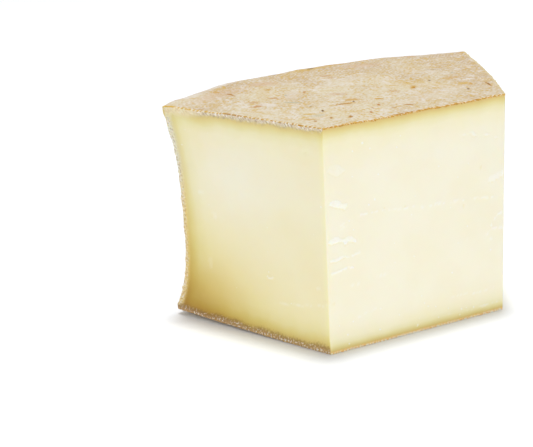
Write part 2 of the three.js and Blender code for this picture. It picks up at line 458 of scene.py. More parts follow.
def unitBlock():
    # a box of quads from 0 to 1 each way, its lines closer together at the edges
    last = grid["counts"]
    shares = [gridShares(count) for count in last]
    block = bmesh.new()
    corners = {}

    def corner(key):
        if key not in corners:
            corners[key] = block.verts.new([shares[axis][key[axis]] for axis in range(3)])
        return corners[key]

    for axis in range(3):
        first, second = [a for a in range(3) if a != axis]
        for end in (0, last[axis]):
            outward = (end != 0) == (axis != 1)
            for i in range(last[first]):
                for j in range(last[second]):
                    keys = []
                    for a, b in ((i, j), (i + 1, j), (i + 1, j + 1), (i, j + 1)):
                        key = [0, 0, 0]
                        key[axis], key[first], key[second] = end, a, b
                        keys.append(corner(tuple(key)))
                    block.faces.new(keys if outward else keys[::-1])
    return block


def alongCut(side, gaps):
    return gaps["left"] if side == "tip" else gaps["heel"]


def inZone(zones, side, gaps):
    along, up = alongCut(side, gaps), gaps["foot"]
    for zone, (left, right), (low, high) in zones:
        if zone == side and left <= along <= right and low <= up <= high:
            return True
    return False


def refine(block, zones, withRind):
    picked = set()
    for face in block.faces:
        middle = face.calc_center_median()
        side = sidesOf(middle)[0]
        gaps = gapsTo(middle)
        besideCut = side == "top" and min(gaps["left"], gaps["tip"]) < grid["knifeEdgeBand"]
        besideHeelCut = side == "heel" and gaps["left"] < grid["knifeEdgeBand"]
        if (withRind and (besideCut or besideHeelCut)) or inZone(zones, side, gaps):
            picked.update(face.edges)
    bmesh.ops.subdivide_edges(block, edges=list(picked), cuts=1, use_grid_fill=True)
    bmesh.ops.triangulate(block, faces=[face for face in block.faces if len(face.verts) > 4])


# The cut rind at the top, the heel and the foot of each cut face: how wide it
# shows in mm, how far its colour has soaked into the paste, and at what share
# of that way the paste begins
cutRind = {
    "left": [(3.0, 4.2, 3.8), (1.3, 1.75, 1.7), (0.02, 0.075, 0.0)],
    "tip": [(0.9, 3.0, 1.5), (1.0, 1.5, 0.8), (0.0, 0.0, 0.0)],
    "right": [(0.9, 3.0, 1.1), (1.0, 1.6, 1.0), (0.0, 0.0, 0.0)],
}
# how it changes on the left cut: near the rim, near the tip, and low at the heel
leftRind = {
    "nearRim": (12, 30),
    "rimWidth": 2.8,
    "rimStart": 0.1,
    "nearTip": (92, 113),
    "tipLess": 0.35,
    "uneven": 0.3,
    "topSwing": 7.0,  # mm over which its width varies at the top
    "footSwing": 8.0,
    "low": (48, 98),  # heights, for the band at the heel
    "lowWidth": 2.6,
    "lowReach": 1.9,
    "lowStart": 0.02,
}
# the paste is darker and more amber low on the left cut: painted shade towards the foot, and near the
# rim's foot partly the rind's stain, partly painted shade; a little more beside the near upright edge
ripeAndShade = {
    "heights": (45, 90),
    "lowShade": 0.2,
    "atRim": 1.0,
    "along": 52,
    "up": 36,
    "atEdge": 0.11,
    "fromEdge": (15, 78),
    "edgeFoot": (50, 75),
    "edgeTop": (102, 120),
    "topLess": 0.5,
}


def rindDepths(place):
    radius = math.hypot(place.x, place.y)
    top = topHeight(place.x, place.y) - place.z
    foot = place.z - footHeight(place.x, place.y)
    return Vector((top, wheel["radius"] - heelInset(place.z) - radius, foot))


def ripeAndShadeAt(gaps):
    along, up = gaps["heel"], gaps["foot"]
    # painted shade, darker towards the foot of the left cut
    lowShade = ripeAndShade["lowShade"] * fade(up, *ripeAndShade["heights"])
    # the rind's stain where heel and foot meet, together with painted shade there
    atFoot = math.exp(-(along / ripeAndShade["along"]) ** 2 - (up / ripeAndShade["up"]) ** 2)
    atEdge = fade(gaps["tip"], *ripeAndShade["fromEdge"]) * smoothStep(up, *ripeAndShade["edgeFoot"])
    atEdge *= 1 - ripeAndShade["topLess"] * smoothStep(up, *ripeAndShade["edgeTop"])
    return lowShade + ripeAndShade["atRim"] * atFoot + ripeAndShade["atEdge"] * atEdge


def cutLook(cut, gaps):
    # width, reach and start of the cut rind's colours, and how ripe and shaded the paste is, partly painted
    # shade
    width, reach, start = [Vector(row) for row in cutRind[cut or "tip"]]
    if cut != "left":
        return width, reach, start, 0.0
    along, up = gaps["heel"], gaps["foot"]
    atRim = fade(along, *leftRind["nearRim"])
    width.x += leftRind["rimWidth"] * atRim
    start.x += leftRind["rimStart"] * atRim
    width.x *= 1 - leftRind["tipLess"] * smoothStep(along, *leftRind["nearTip"])
    width.x *= 1 + leftRind["uneven"] * noiseOf(along / leftRind["topSwing"], 1.5, 0)
    width.z *= 1 + leftRind["uneven"] * noiseOf(along / leftRind["footSwing"], 4.5, 0)
    low = fade(up, *leftRind["low"])
    width.y = lerp(width.y, leftRind["lowWidth"], low)
    reach.y = lerp(reach.y, leftRind["lowReach"], low)
    start.y = lerp(start.y, leftRind["lowStart"], low)
    return width, reach, start, ripeAndShadeAt(gaps)


def liftOf(side, gaps, place, depth, width, toCut):
    # fine relief and whiteness of one side at a place; whiteness below zero is painted shade
    if side in ("tip", "left", "right"):
        lift, white = knifeMarkAt(side, alongCut(side, gaps), place.z)
        shares = [deep / (relief["crumbShare"] * wide) for deep, wide in zip(depth, width)]
        rough = max(0.0, max(1 - max(0.0, share) for share in shares))
        return lift + bumps(place, "knifeWave") + rough * bumps(place, "crumb"), white
    if side == "heel":
        return bumps(place, "heelLump", "heelGrain"), 0.0
    crumble = fade(toCut, 0, relief["crumbReach"])
    lift = bumps(place, "rindLump", "rindGrain") + crumble * bumps(place, "crumb")
    return (lift if side == "top" else -abs(lift)), 0.0


farOff = 99.0  # mm, for a place that isn't on the two front cuts


def facePlace(cut, gaps):
    # along a cut face, up it, and how far from the near upright edge; on the
    # rind only how far along the nearest cut
    if cut == "tip" or (not cut and gaps["tip"] < min(gaps["left"], gaps["right"])):
        return Vector((gaps["left"], gaps["foot"], gaps["left"]))
    return Vector((gaps["heel"], gaps["foot"], gaps["tip"] if cut == "left" else farOff))


def skinAt(share):
    # the place of a point with its fine relief, and what the materials read there
    sides = sidesOf(share)
    gaps = gapsTo(share)
    place = smoothPlace(share)
    depth = rindDepths(place)
    toCut = min(gaps["left"], gaps["tip"], gaps["right"])
    cut = next((side for side in ("tip", "left", "right") if side in sides), None)
    width, reach, start, ripeAndShaded = cutLook(cut, gaps)
    torn = 0.0
    push = Vector()
    for side in sides:
        lift, white = liftOf(side, gaps, place, depth, width, toCut)
        push += outwardOf(side, place) * lift
        torn += white
    place += push
    place.z = max(0.0, place.z)
    return place, {
        "rindDepth": depth,
        "rindWidth": width,
        "stainReach": reach,
        "stainStart": start,
        "facePlace": facePlace(cut, gaps),
        # whiteness of torn paste; below zero it is painted shade in creases, grooves and pits
        "torn": torn,
        "toCut": 0.0 if cut else toCut,
        "dragged": 1.0 if "left" in sides and "tip" not in sides else 0.0,
        "ripeAndShaded": ripeAndShaded,
    }


def makeCheese():
    block = unitBlock()
    refine(block, fineZones, True)
    refine(block, finestZones, False)
    materialOf = {"top": 0, "foot": 0, "heel": 1, "left": 2, "right": 2, "tip": 2}
    for face in block.faces:
        face.material_index = materialOf[sidesOf(face.calc_center_median())[0]]
        face.smooth = True
    for edge in block.edges:
        kinds = {face.material_index for face in edge.link_faces}
        edge.smooth = not (materialOf["tip"] in kinds and len(kinds) > 1)
    layers = {}
    for name in ("rindDepth", "rindWidth", "stainReach", "stainStart", "facePlace"):
        layers[name] = block.verts.layers.float_vector.new(name)
    for name in ("torn", "toCut", "dragged", "ripeAndShaded"):
        layers[name] = block.verts.layers.float.new(name)
    for vert in block.verts:
        place, readings = skinAt(vert.co.copy())
        for name, value in readings.items():
            vert[layers[name]] = value
        vert.co = (place + wheelAxis) * mm
    mesh = bpy.data.meshes.new("cheesePiece")
    block.to_mesh(mesh)
    block.free()
    cheese = bpy.data.objects.new("cheesePiece", mesh)
    bpy.context.collection.objects.link(cheese)
    return cheese


# Shader building: a node goes into the tree of the sockets that it takes. A colour
# is a socket, or red, green and blue as a picture programme gives them.

def isSocket(value):
    return isinstance(value, bpy.types.NodeSocket)


def feed(sockets, values):
    # a socket is linked, anything else becomes the plain value
    for key, value in values.items():
        if isSocket(value):
            value.id_data.links.new(value, sockets[key])
        else:
            sockets[key].default_value = value


def paint(red, green, blue):
    def linear(level):
        level /= 255
        return level / 12.92 if level <= 0.04045 else ((level + 0.055) / 1.055) ** 2.4
    return (linear(red), linear(green), linear(blue), 1.0)


def addNode(kind, inputs, tree=None, **settings):
    tree = tree or next(value.id_data for value in inputs.values() if isSocket(value))
    made = tree.nodes.new("ShaderNode" + kind)
    for name, value in settings.items():
        setattr(made, name, value)
    feed(made.inputs, inputs)
    return made


def calc(operation, *values, clamp=False):
    return addNode("Math", dict(enumerate(values)), operation=operation, use_clamp=clamp).outputs[0]


def times(value, *factors, clamp=False):
    for factor in factors:
        value = calc("MULTIPLY", value, factor, clamp=clamp)
    return value


def timesPlus(value, factor, offset, clamp=False):
    return calc("MULTIPLY_ADD", value, factor, offset, clamp=clamp)


def stepUp(value, low, high):
    return addNode("MapRange", {0: value, 1: low, 2: high}, interpolation_type="SMOOTHSTEP").outputs[0]


def stepDown(value, low, high):
    return calc("SUBTRACT", 1.0, stepUp(value, low, high))


def mixColour(share, first, second, blend="MIX"):
    first, second = [colour if isSocket(colour) else paint(*colour) for colour in (first, second)]
    return addNode("Mix", {0: share, 6: first, 7: second}, data_type="RGBA", blend_type=blend).outputs[2]


def layOver(colour, shade, *masks):
    return mixColour(times(*masks), colour, shade)


def ramp(value, stops):
    made = addNode("ValToRGB", {0: value})
    made.color_ramp.interpolation = "LINEAR"
    while len(made.color_ramp.elements) < len(stops):
        made.color_ramp.elements.new(0.5)
    for element, (place, colour) in zip(made.color_ramp.elements, stops):
        element.position = place
        element.color = colour
    return made.outputs[0]


def noiseAt(vector, size, detail=2.0, rough=0.5):
    inputs = {"Vector": vector, "Scale": 1 / size, "Detail": detail, "Roughness": rough}
    return addNode("TexNoise", inputs).outputs[0]


def patches(vector, look, name):
    # where the noise of that name shows
    return stepUp(noiseAt(vector, *look[name]), *look[name + "Show"])


def vectorCalc(operation, first, second):
    return addNode("VectorMath", {0: first, 1: second}, operation=operation).outputs[0]


def scaled(vector, factor):
    return addNode("VectorMath", {0: vector, "Scale": factor}, operation="SCALE").outputs[0]


def turned(vector, angle):
    return addNode("VectorRotate", {"Vector": vector, "Angle": angle}, rotation_type="Z_AXIS").outputs[0]


def stretched(vector, scale, turn=(0, 0, 0)):
    return addNode("Mapping", {"Vector": vector, "Scale": scale, "Rotation": turn}).outputs[0]


def partsOf(vector):
    return addNode("SeparateXYZ", {0: vector}).outputs


def flatPlace(first, second):
    return addNode("CombineXYZ", {0: first, 1: second, 2: 0.0}).outputs[0]


groups = {}  # the effects that materials share


def newGroup(name, takes, gives):
    # the sockets are given as "names: kind, names: kind"
    tree = bpy.data.node_groups.new(name, "ShaderNodeTree")
    kinds = {"value": "NodeSocketFloat", "colour": "NodeSocketColor", "vector": "NodeSocketVector"}
    for way, sockets in (("INPUT", takes), ("OUTPUT", gives)):
        for part in sockets.split(", "):
            labels, kind = part.split(": ")
            for label in labels.split():
                tree.interface.new_socket(name=label, in_out=way, socket_type=kinds[kind])
    groups[name] = tree
    return tree.nodes.new("NodeGroupInput").outputs, tree.nodes.new("NodeGroupOutput").inputs


def useGroup(name, **inputs):
    return addNode("Group", inputs, node_tree=groups[name]).outputs


clothMark = {
    "shift": {"Scale": 0.12, "Detail": 2.0},  # the noise that bends the rows
    "worn": (14.0, 3.0, 0.6),  # size in mm, detail and roughness of a noise, here and below
    "wornTo": 0.72,
    "warp": 0.5,  # how far the two rows of threads stand out
    "weft": 0.35,
}


def clothGroup():
    # the mark of the moulding cloth: two crossed rows of threads, worn here and there
    take, give = newGroup("clothImprint", "Place: vector, Pitch Wander Wear: value", "Height: value")
    shift = addNode("TexNoise", {"Vector": take["Place"], **clothMark["shift"]}).outputs[1]
    shift = scaled(vectorCalc("SUBTRACT", shift, (0.5, 0.5, 0.5)), take["Wander"])
    axes = partsOf(vectorCalc("ADD", take["Place"], shift))
    rows = []
    for operation in ("ADD", "SUBTRACT"):
        slant = times(calc(operation, axes[0], axes[1]), math.tau / math.sqrt(2))
        rows.append(calc("SINE", calc("DIVIDE", slant, take["Pitch"])))
    warp = timesPlus(rows[0], clothMark["warp"], 1 - clothMark["warp"])
    weave = times(warp, timesPlus(rows[1], clothMark["weft"], 1 - clothMark["weft"]))
    kept = stepDown(noiseAt(take["Place"], *clothMark["worn"]), take["Wear"], clothMark["wornTo"])
    feed(give, {"Height": times(weave, kept)})


def fleckGroup():
    # scattered flecks: where a noise passes a limit
    take, give = newGroup("scatteredFlecks", "Place: vector, Size From To: value", "Mask: value")
    scale = calc("DIVIDE", 1.0, take["Size"])
    grain = addNode("TexNoise", {"Vector": take["Place"], "Scale": scale, "Detail": 3.0, "Roughness": 0.6})
    feed(give, {"Mask": stepUp(grain.outputs[0], take["From"], take["To"])})


spotEdge = (0.4, 1.15)  # share of its size over which a single mark fades


def spotGroup():
    # one oval mark, frayed by a grain
    take, give = newGroup("singleMark", "Place Centre Size: vector, Turn Grain: value", "Mask: value")
    away = turned(vectorCalc("SUBTRACT", take["Place"], take["Centre"]), take["Turn"])
    away = vectorCalc("DIVIDE", away, take["Size"])
    reach = addNode("VectorMath", {0: away}, operation="LENGTH").outputs["Value"]
    feed(give, {"Mask": stepDown(calc("ADD", reach, take["Grain"]), *spotEdge)})


# golden dots along the upper knife edges, in mm; they fade over the ranges
edgeDots = {
    "pitch": 2.9,
    "onTop": (0.95, 1.9),
    "inCut": (0.22, 0.66),
    "joinedTo": (6.6, 11.0),  # near the rim they join
    # mm from the rim where they turn dark, where that ends, and where they deepen
    "darkFrom": (40.0, 48.0),
    "darkTo": (56.0, 66.0),
    "dark": 0.75,
    "darkFull": 0.9,  # dark dots run together this much more
    "deeper": (15.0, 60.0),
    "deepest": 0.7,  # share of the deep colour, and the least of it
    "shallow": 0.3,
    "flattened": 0.3,  # across the edge they vary more slowly
    # size in steps, detail, range and middle of the noises that move, fray, part
    # and deepen them
    "shift": (1.8, 1.0, 2.2),
    "fray": (0.35, 2.0, 4.0, -2.0),
    "gaps": (4.0, 1.0, 2.4, -1.05),
    "depth": (0.9, 2.0),
    "depthShow": (0.4, 0.6),
    "maskShow": (-0.5, 0.6),
    "light": (212, 175, 88),
    "deep": (168, 116, 42),
    "between": (226, 214, 190),
    "rim": (232, 204, 124),
    "rimShare": 0.6,
    "rimReach": (0.3, 0.9),
    "rimHeight": (114.0, 126.0),
    "farCut": (211, 195, 154),  # the right cut's edge is plain and pale
    "farCutShare": 0.85,
    # crumbs along the foot of the clean cuts, and what shows between them
    "hemPitch": 2.1,
    "hemHigh": (0.665, 1.235),
    "hemShare": 0.92,
    "hemCrumb": (255, 248, 218),
    "hemBit": (252, 198, 116),
}


def dotGroup():
    # a row of dots along an edge: where they are, and how dark
    take, give = newGroup("edgeDots", "Along Across Pitch: value", "Mask Shade: value")
    along = take["Along"]
    steps = calc("DIVIDE", along, take["Pitch"])
    where = flatPlace(steps, times(take["Across"], edgeDots["flattened"]))
    size, detail, far = edgeDots["shift"]
    shift = times(noiseAt(where, size, detail), far)
    wave = calc("SINE", times(calc("ADD", steps, shift), math.tau))
    grain, gaps = [
        timesPlus(noiseAt(where, size, detail), swing, middle)
        for size, detail, swing, middle in (edgeDots["fray"], edgeDots["gaps"])
    ]
    dark = times(stepUp(along, *edgeDots["darkFrom"]), edgeDots["dark"], stepDown(along, *edgeDots["darkTo"]))
    fuller = timesPlus(dark, edgeDots["darkFull"], gaps)
    mask = stepUp(calc("ADD", calc("ADD", wave, grain), fuller), *edgeDots["maskShow"])
    deeper = timesPlus(stepUp(along, *edgeDots["deeper"]), 1 - edgeDots["shallow"], edgeDots["shallow"])
    shade = times(patches(where, edgeDots, "depth"), edgeDots["deepest"], deeper)
    feed(give, {"Mask": mask, "Shade": calc("MAXIMUM", dark, shade)})


rindBand = {
    "longest": 26.0,  # mm over which the paste's colour changes beyond the rind
    "varied": (0.65, 0.7),  # least share of it, and how much more
    "tintFrom": 0.8,  # share of the rind's width where that change begins
    "inward": (0.2, 1.2),  # the shares over which the rind turns to its inner colour
    "paste": (247, 243, 219),
    # share of that length and the colour there
    "stops": [
        (0.0, (219, 194, 121)),
        (0.055, (225, 207, 136)),
        (0.13, (233, 223, 162)),
        (0.21, (240, 234, 190)),
        (0.34, (245, 240, 206)),
        (0.62, (247, 242, 215)),
    ],
    "crumb": (253, 249, 238),
    "crumbShare": 0.85,
    "speck": (154, 116, 68),
    "speckShare": 0.45,
    # size in mm, detail and roughness of the noises
    "strand": (1.0, 1.5, 0.5),
    "grain": (1.2, 3.0, 0.65),
    "soft": (13.0, 2.0),
    # where crumbs and specks show: in the strands, and as a share of their reach
    "crumbFrom": (0.54, 0.63),
    "crumbTo": (0.35, 1.2),
    "speckFrom": (0.36, 0.47),
    "speckTo": (0.3, 1.1),
    # how much of them shows beyond the rind, and that of specks against crumbs
    "loose": 0.75,
    "looseSpecks": 0.6,
}


def underRindGroup():
    # the cut rind with its strands, and the darker paste under it, from the depth
    take, give = newGroup(
        "underRind",
        "Depth Width Reach Start Ragged From To Crumbs White Dark: value, "
        "Place Strands: vector, Outer Inner: colour",
        "Cover: value, Rind Tint: colour, Height: value",
    )
    strand = noiseAt(take["Strands"], *rindBand["strand"])
    grain = calc("ADD", noiseAt(take["Place"], *rindBand["grain"]), strand)
    depth = timesPlus(calc("SUBTRACT", grain, 1.0), take["Ragged"], take["Depth"])
    # the paste's tint, over a length that varies
    inner = calc("SUBTRACT", take["Depth"], times(take["Width"], rindBand["tintFrom"]))
    least, more = rindBand["varied"]
    soft = timesPlus(noiseAt(take["Place"], *rindBand["soft"]), more, least)
    reach = times(take["Reach"], soft, rindBand["longest"])
    beyond = calc("DIVIDE", calc("MAXIMUM", inner, 0.0), reach)
    whole = paint(*rindBand["paste"])
    stops = [(share, [a / b for a, b in zip(paint(*colour), whole)]) for share, colour in rindBand["stops"]]
    tint = ramp(calc("ADD", beyond, take["Start"]), stops + [(1.0, (1, 1, 1, 1))])
    # the rind with white crumbs and dark specks
    inRind = calc("DIVIDE", depth, take["Width"])
    rind = mixColour(stepUp(inRind, *rindBand["inward"]), take["Outer"], take["Inner"])
    inCrumbs = calc("DIVIDE", depth, take["Crumbs"])
    crumbs = stepUp(strand, *rindBand["crumbFrom"])
    crumbs = times(crumbs, stepDown(inCrumbs, *rindBand["crumbTo"]), take["White"])
    rind = layOver(rind, rindBand["crumb"], crumbs, rindBand["crumbShare"])
    specks = stepDown(strand, *rindBand["speckFrom"])
    specks = times(specks, stepDown(inCrumbs, *rindBand["speckTo"]), take["Dark"])
    rind = layOver(rind, rindBand["speck"], specks, rindBand["speckShare"])
    loose = calc("ADD", crumbs, times(specks, rindBand["looseSpecks"]))
    loose = times(loose, rindBand["loose"])
    feed(give, {
        "Cover": calc("MAXIMUM", stepDown(inRind, take["From"], take["To"]), loose),
        "Rind": rind,
        "Tint": tint,
        "Height": calc("SUBTRACT", crumbs, specks),
    })


# how dry rind is painted: the noise of each effect, where it shows and its share
mottle = {
    "clouds": (30.0, 4.0, 0.55),
    "cloudy": 3.0,
    "stretch": (1, 0.65, 1),  # of stains; bloom and speckle likewise
    "bloomStretch": (1, 0.65, 1.3),
    "speckleStretch": (1, 0.6, 1),
    "stains": (8.0, 4.0, 0.6),
    "stainsShow": (0.48, 0.68),
    "stainsShare": 0.6,
    "stainsSmooth": 0.2,  # they are this much less rough
    "bloom": (6.0, 5.0, 0.65),
    "bloomShow": (0.5, 0.66),
    "bloomShare": 0.7,
    "patches": (15.0, 2.0),
    "patchesShow": (0.36, 0.6),
    "speckle": (1.5, 2.0, 0.6),
    "speckleDark": (0.5, 0.66),
    "darkLeast": 0.4,  # outside the patches, and how much more in them
    "darkMore": 0.55,
    "speckleWhite": (0.34, 0.5),
    "whiteShare": 0.7,
    "wrinkles": (12.0, 3.0, 0.55),
    "wrinkleWidth": 0.014,
    "wrinkleShare": 0.4,
    "clothShare": 0.5,
    # how far the effects stand out or lie back
    "speckleHeight": -0.5,
    "wrinkleHeight": 0.5,
    "clothHeight": 0.5,
    "rough": 0.92,
}


def mottleGroup():
    # dry rind: pale and tan clouds, ochre stains and speckle, whitish bloom
    take, give = newGroup(
        "rindMottle",
        "Place: vector, Cloth: value, Pale Tan Ochre Bloom: colour, Tanned: value",
        "Colour: colour, Rough Height: value",
    )
    place = take["Place"]
    clouds = calc("SUBTRACT", noiseAt(place, *mottle["clouds"]), 0.5)
    clouds = timesPlus(clouds, mottle["cloudy"], take["Tanned"], clamp=True)
    colour = mixColour(clouds, take["Pale"], take["Tan"])
    stains = patches(stretched(place, mottle["stretch"]), mottle, "stains")
    colour = layOver(colour, take["Ochre"], stains, mottle["stainsShare"])
    bloom = patches(stretched(place, mottle["bloomStretch"]), mottle, "bloom")
    colour = layOver(colour, take["Bloom"], bloom, mottle["bloomShare"])
    patchy = timesPlus(patches(place, mottle, "patches"), mottle["darkMore"], mottle["darkLeast"])
    speckle = noiseAt(stretched(place, mottle["speckleStretch"]), *mottle["speckle"])
    colour = layOver(colour, take["Ochre"], stepUp(speckle, *mottle["speckleDark"]), patchy)
    colour = layOver(colour, take["Bloom"], stepDown(speckle, *mottle["speckleWhite"]), mottle["whiteShare"])
    # pale wrinkles along the contours of a slow noise
    contour = calc("ABSOLUTE", calc("SUBTRACT", noiseAt(place, *mottle["wrinkles"]), 0.5))
    wrinkles = times(stepDown(contour, 0.0, mottle["wrinkleWidth"]), mottle["wrinkleShare"])
    colour = layOver(colour, take["Bloom"], wrinkles)
    colour = layOver(colour, take["Bloom"], take["Cloth"], mottle["clothShare"])
    height = timesPlus(speckle, mottle["speckleHeight"], times(wrinkles, mottle["wrinkleHeight"]))
    feed(give, {
        "Colour": colour,
        "Rough": timesPlus(stains, -mottle["stainsSmooth"], mottle["rough"]),
        "Height": timesPlus(take["Cloth"], mottle["clothHeight"], height),
    })


def newMaterial(name):
    material = bpy.data.materials.new(name)
    material.use_nodes = True
    tree = material.node_tree
    place = scaled(addNode("TexCoord", {}, tree).outputs["Object"], 1 / mm)
    return material, tree, tree.nodes["Principled BSDF"].inputs, place


def attribute(tree, name, output="Vector"):
    return addNode("Attribute", {}, tree, attribute_name=name).outputs[output]


def bumpFrom(height, distance):
    return addNode("Bump", {"Height": height, "Distance": distance, "Strength": 1.0}).outputs[0]


pasteLook = {
    # from plain to amber: partly a ripe stain, partly painted shade
    "ripeAndShadeColours": [
        (0.0, (248, 242, 219)),
        (0.2, (244, 235, 197)),
        (0.4, (238, 226, 174)),
        (0.6, (229, 212, 150)),
        (0.8, (220, 197, 124)),
        (1.0, (207, 177, 98)),
    ],
    "cloud": (253, 251, 244),  # a faint tint in clouds
    "clouds": (30.0, 3.0),
    "cloudsShow": (0.35, 0.7),
    "cloudsShare": 0.6,
    "torn": (253, 251, 243),
    "tornShare": 0.8,
    "paintedCreaseShade": (240, 229, 184),
    "edge": (247, 241, 190),
    "edgeReach": (1.0, 5.0),
    "edgeShare": (0.1, 0.3),  # on the clean cuts, and more on the dragged one
    "grainEvery": 7.5,  # mm between the small white grains
    "grainSize": (0.02, 0.06),  # least and more, as a share of that
    "grainShare": 0.75,
    "grainEdge": (0.0, 0.02),
    "grainDraw": (0.5, 0.52),  # above this draw a cell has a grain
    # size in mm, detail and roughness of the fine noises
    "fray": (0.8, 2.0),
    "frayed": 0.8,
    "drag": (0.8, 2.0),
    "dragStretch": (0.25, 0.25, 1.6),
    "dragTurn": (0.1, 0, 0),
    "dragRelief": 0.5,
    "fine": (0.7, 3.0, 0.6),
    "fineRelief": (0.4, 2.0),  # on the paste, and more on the cut rind
    "rindRelief": 2.2,
    "grainRelief": 1.2,
    "rough": (0.5, 0.35),  # likewise
    "bump": 0.00008,  # in metres
    "shader": {
        "Specular IOR Level": 0.35,
        "Subsurface Weight": 0.3,
        "Subsurface Radius": (1.0, 0.75, 0.35),
        "Subsurface Scale": 0.0025,
    },
}
# white grains of the tip cut: across, up and radius
tipGrains = [
    (27.2, 82.7, 0.7), (17.0, 70.1, 0.6), (14.5, 75.7, 0.6), (33.6, 98.9, 0.6), (55.8, 46.5, 0.6),
    (81.4, 31.0, 0.6), (108.5, 39.2, 0.7), (54.6, 71.4, 0.5), (17.2, 100.3, 0.5), (31.0, 85.0, 0.8),
    (60.5, 21.5, 0.5), (12.6, 63.9, 0.5), (73.0, 96.0, 0.5), (92.0, 57.0, 0.6), (43.0, 57.0, 0.5),
    (33.0, 20.2, 0.6), (62.3, 16.7, 0.5), (64.7, 14.2, 0.6), (70.0, 12.8, 0.5), (78.6, 9.8, 0.5),
    (87.8, 7.2, 0.7), (91.2, 7.3, 0.5), (96.4, 6.4, 0.7), (103.9, 6.1, 0.5), (86.6, 3.9, 0.5),
    (71.8, 5.8, 0.5), (57.6, 4.4, 0.6), (32.4, 7.7, 0.7), (45.3, 13.4, 0.5), (11.4, 9.6, 0.7),
    (12.0, 3.9, 0.6), (6.2, 16.1, 0.5), (15.1, 16.6, 0.6), (24.1, 118.1, 0.9), (28.8, 114.4, 0.6),
    (17.7, 114.4, 0.6), (45.8, 112.0, 0.6), (48.2, 118.0, 0.5),
]

# Colours of the cut rind, outside and inside: where the knife cut it clean, where
# it dragged it over the left face, and there near the rim or the foot. A strip lies
# at the heel, the top or the foot: axis 1, 0 or 2 of the rind's depth. Its look is
# given for the clean and the dragged rind: how ragged it is, the crumbs' reach, the
# strength of white and dark ones, and where the band fades. Strands are given by
# turn, width and length. The far range is told along the face or, for the heel, up
# it, and crumbs can be weaker there.
rindStrips = [
    {
        "axis": 1,
        "look": {
            "Ragged": (1.0, 1.8),
            "Crumbs": (2.0, 4.6),
            "White": (0.6, 0.9),
            "Dark": (0.6, 0.9),
            "From": (0.6, 0.4),
            "To": (1.15, 1.8),
        },
        "strand": (-1.1, 1.1, 1.6),
        "clean": ((202, 152, 68), (216, 186, 110)),
        "dragged": ((236, 229, 203), (230, 222, 180)),
        # low on the heel it is more amber: partly the rind's stain, partly painted shade
        "far": ((236, 212, 158), (240, 216, 140)),
        "farRange": (60.0, 108.0),
        "farLess": {},
    },
    {
        "axis": 0,
        "look": {
            "Ragged": (1.3, 3.2),
            "Crumbs": (0.9, 4.2),
            "White": (0.7, 1.0),
            "Dark": (0.7, 1.0),
            "From": (0.6, 0.55),
            "To": (1.15, 1.35),
        },
        "strand": (-0.69, 0.9, 2.6),
        "clean": ((204, 152, 62), (215, 184, 108)),
        # the dragged rind's inner colour is darker under the crumbs: partly the rind's stain, partly painted
        # shade under them
        "dragged": ((228, 213, 188), (208, 192, 146)),
        "far": ((239, 223, 180), (237, 225, 181)),
        "farRange": (16.0, 38.0),
        "farLess": {"White": 0.5, "Dark": 0.6},
    },
    {
        "axis": 2,
        "look": {
            "Ragged": (1.2, 3.0),
            "Crumbs": (1.9, 6.0),
            "White": (1.0, 0.75),
            "Dark": (0.6, 0.9),
            "From": (0.6, 0.6),
            "To": (1.5, 1.65),
        },
        "strand": (0.6, 1.1, 1.6),
        "clean": ((255, 226, 158), (240, 200, 122)),
        "dragged": ((205, 170, 118), (166, 136, 74)),
        # near the rim at the foot it is darker: partly the rind's crust, partly painted shade
        "far": ((194, 156, 106), (148, 116, 62)),
        "farRange": (34.0, 62.0),
        "farLess": {},
    },
]


